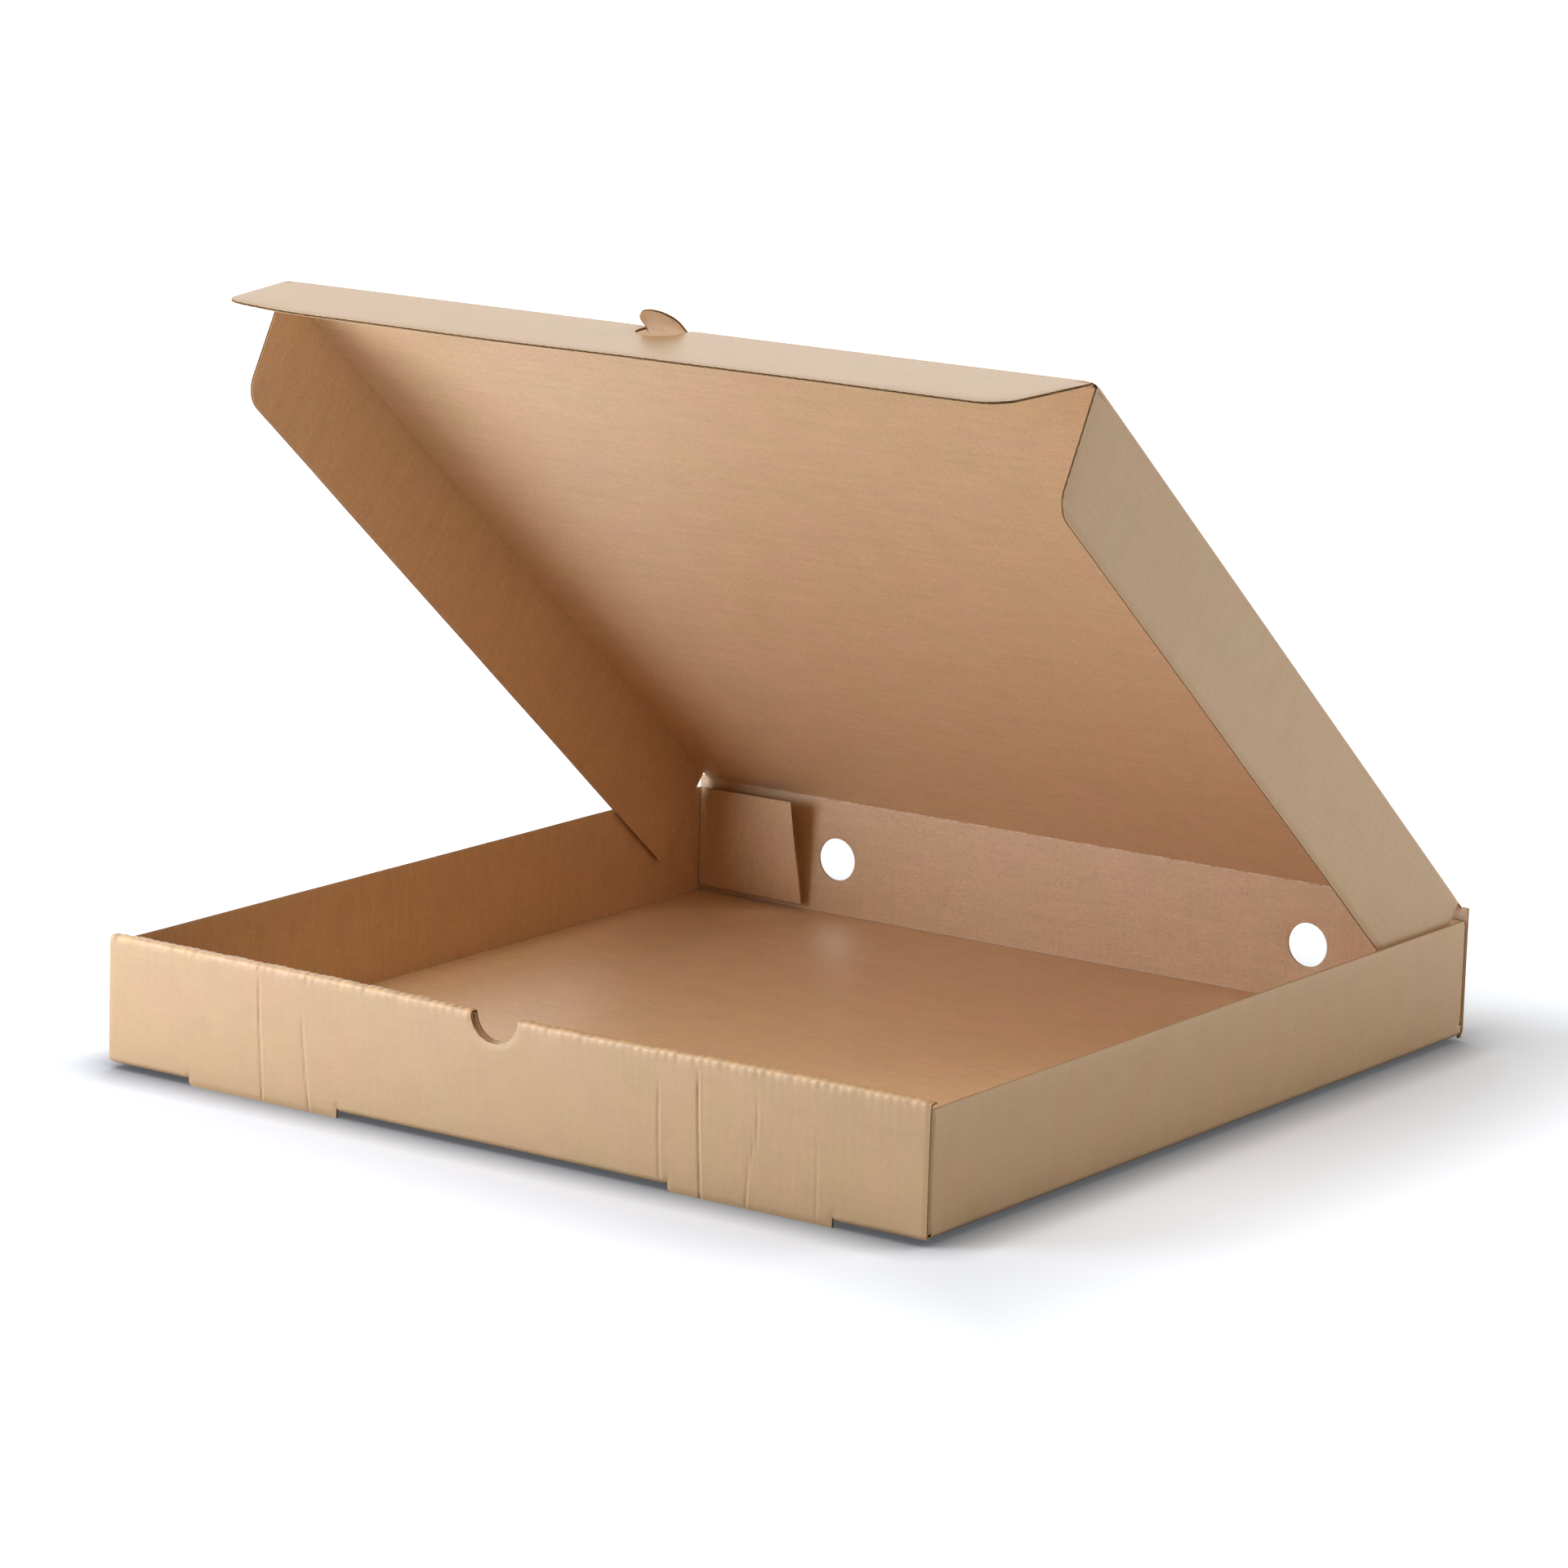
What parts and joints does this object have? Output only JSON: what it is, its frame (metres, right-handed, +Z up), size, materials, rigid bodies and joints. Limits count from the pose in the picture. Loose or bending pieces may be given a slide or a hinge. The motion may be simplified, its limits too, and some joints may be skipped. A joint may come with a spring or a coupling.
{
  "type": "pizza box",
  "caption": "Square corrugated cardboard pizza box with a half-open hinged lid, a front flap and side flaps, a finger notch and vent holes.",
  "frame": {"origin": "under the middle of the tray, on the surface that the box stands on", "axes": "+X to the right along the front wall, +Y from the front wall to the hinged back wall, +Z up"},
  "size_m": [0.33, 0.34, 0.2663],
  "materials": {
    "kraft_board": "unprinted brown kraft corrugated board, matte"
  },
  "bodies": {
    "tray": {"tray": "kraft_board"},
    "lid": {"lid": "kraft_board"},
    "front_flap": {"lid_front_flap": "kraft_board"},
    "left_flap": {"lid_left_flap": "kraft_board"},
    "right_flap": {"lid_right_flap": "kraft_board"},
    "rear_left_flap": {"rear_left_corner_flap": "kraft_board"},
    "rear_right_flap": {"rear_right_corner_flap": "kraft_board"}
  },
  "joints": [
    {"name": "lid_hinge", "type": "hinge", "parent": "tray", "child": "lid", "pos_m": [0, 0.16925, 0.04755], "axis": [-1, 0, 0], "range_deg": [-38, 140.5]},
    {"name": "front_flap_fold", "type": "hinge", "parent": "lid", "child": "front_flap", "pos_m": [0, -0.08654, 0.25841], "axis": [-1, 0, 0], "range_deg": [-45.8, 44.2]},
    {"name": "left_flap_fold", "type": "hinge", "parent": "lid", "child": "left_flap", "pos_m": [-0.1613, 0.16877, 0.04697], "axis": [0, -0.7716, 0.6361], "range_deg": [0, 65]},
    {"name": "right_flap_fold", "type": "hinge", "parent": "lid", "child": "right_flap", "pos_m": [0.1613, 0.16877, 0.04697], "axis": [0, 0.7716, -0.6361], "range_deg": [0, 65]},
    {"name": "rear_left_flap_fold", "type": "hinge", "parent": "tray", "child": "rear_left_flap", "pos_m": [-0.1635, 0.1667, 0.002], "axis": [0, 0, -1], "range_deg": [-2.4, 55]},
    {"name": "rear_right_flap_fold", "type": "hinge", "parent": "tray", "child": "rear_right_flap", "pos_m": [0.1635, 0.1667, 0.002], "axis": [0, 0, 1], "range_deg": [-1.5, 55]}
  ]
}
